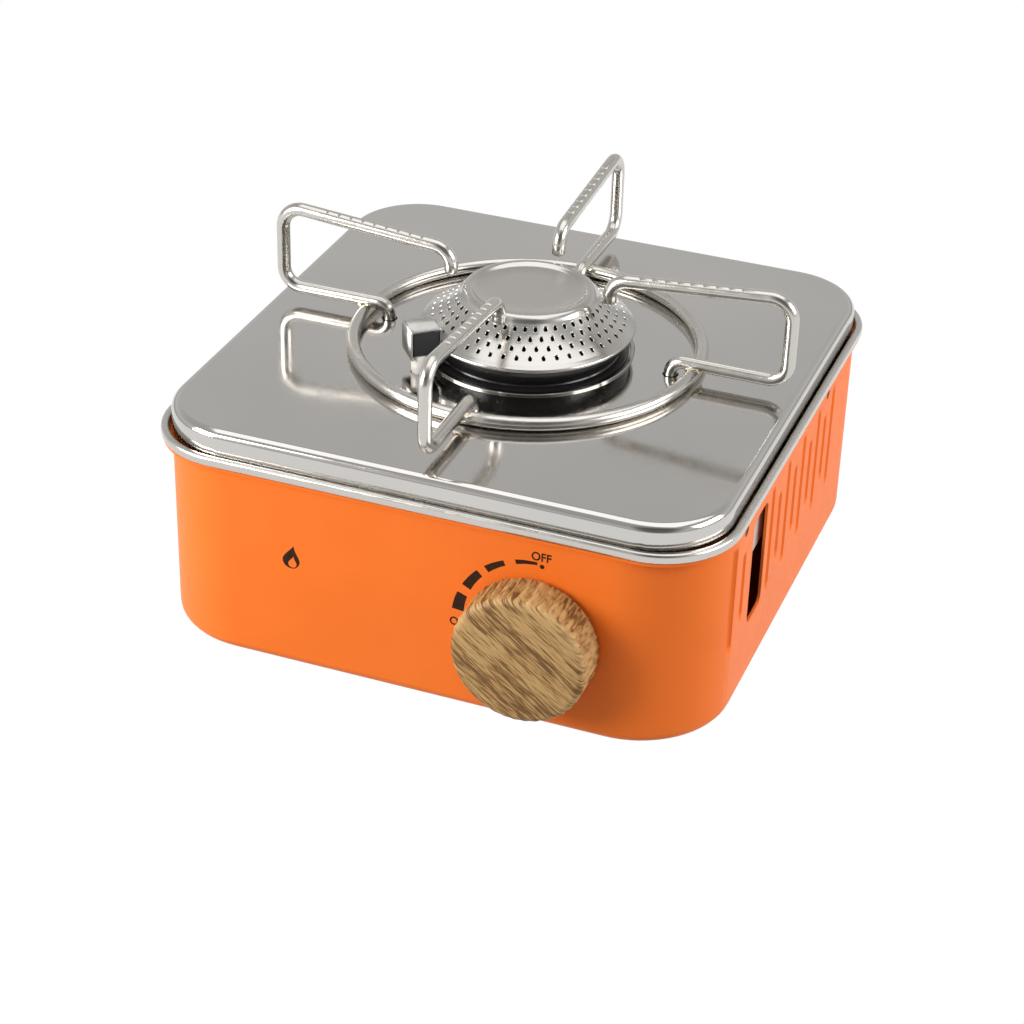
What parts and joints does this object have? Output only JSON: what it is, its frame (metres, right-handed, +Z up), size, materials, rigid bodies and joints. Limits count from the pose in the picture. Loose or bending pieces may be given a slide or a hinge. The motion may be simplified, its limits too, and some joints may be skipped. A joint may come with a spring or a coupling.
{
  "type": "camping stove",
  "caption": "Square one-burner gas camping stove with a painted case, steel lid, lift-off wire pot support, side gas inlet and a turning control knob.",
  "frame": {"origin": "on the ground, under the middle of the bounding box, knob included", "axes": "+X to the right seen from the knob side, +Y towards the back, +Z up"},
  "size_m": [0.19, 0.206, 0.1166],
  "materials": {
    "orange_paint": "satin powder coat",
    "stainless": "bright rolled stainless",
    "black_steel": "black oxide",
    "foot_rubber": "matte",
    "knob_wood": "oiled open grain",
    "zinc_steel": "zinc plated",
    "valve_alloy": "die cast",
    "black_plastic": "moulded",
    "brass": "turned",
    "black_enamel": "gloss heat-proof enamel",
    "white_ceramic": "glazed ceramic",
    "polished_wire": "polished"
  },
  "bodies": {
    "root": {"case_shell": "orange_paint", "rim_bead": "stainless", "top_plate": "stainless", "side_screw_1": "black_steel", "side_screw_2": "black_steel", "side_screw_3": "black_steel", "side_screw_4": "black_steel", "foot_1": "foot_rubber", "foot_2": "foot_rubber", "foot_3": "foot_rubber", "foot_4": "foot_rubber", "valve_body": "valve_alloy", "valve_bracket": "zinc_steel", "valve_screw_1": "zinc_steel", "valve_screw_2": "zinc_steel", "bracket_screw_1": "zinc_steel", "bracket_screw_2": "zinc_steel", "bracket_nut_1": "zinc_steel", "bracket_nut_2": "zinc_steel", "piezo_igniter": "black_plastic", "piezo_clip": "zinc_steel", "inlet_catch_plate": "stainless", "inlet_socket": "brass", "inlet_seal": "foot_rubber", "inlet_pipe": "brass", "inlet_bracket": "zinc_steel", "jet_nozzle": "brass", "mixing_tube": "zinc_steel", "burner_bowl": "black_enamel", "burner_seat_ring": "stainless", "burner_cap": "stainless", "burner_strap": "zinc_steel", "igniter_hood": "zinc_steel", "igniter_insulator": "white_ceramic", "igniter_electrode": "zinc_steel", "igniter_lead": "black_plastic"},
    "knob": {"control_knob": "knob_wood", "knob_spindle": "zinc_steel", "striker_cam": "zinc_steel"},
    "plunger": {"piezo_plunger": "zinc_steel"},
    "pot_support": {"pot_support_ring": "polished_wire", "pot_support_leg_1": "polished_wire", "pot_support_leg_2": "polished_wire", "pot_support_leg_3": "polished_wire", "pot_support_leg_4": "polished_wire"}
  },
  "joints": [
    {"name": "knob_turn", "type": "hinge", "parent": "root", "child": "knob", "pos_m": [0.0391, -0.086, 0.0342], "axis": [0, -1, 0], "range_deg": [0, 90]},
    {"name": "plunger_push", "type": "slide", "parent": "root", "child": "plunger", "axis": [-1, 0, 0], "range_m": [0, 0.0041]},
    {"name": "pot_support_lift", "type": "slide", "parent": "root", "child": "pot_support", "axis": [0, 0, 1], "range_m": [0, 0.03]}
  ],
  "couplings": [
    {"joint": "plunger_push", "follows": "knob_turn", "m_per_rad": 0.0025465}
  ]
}
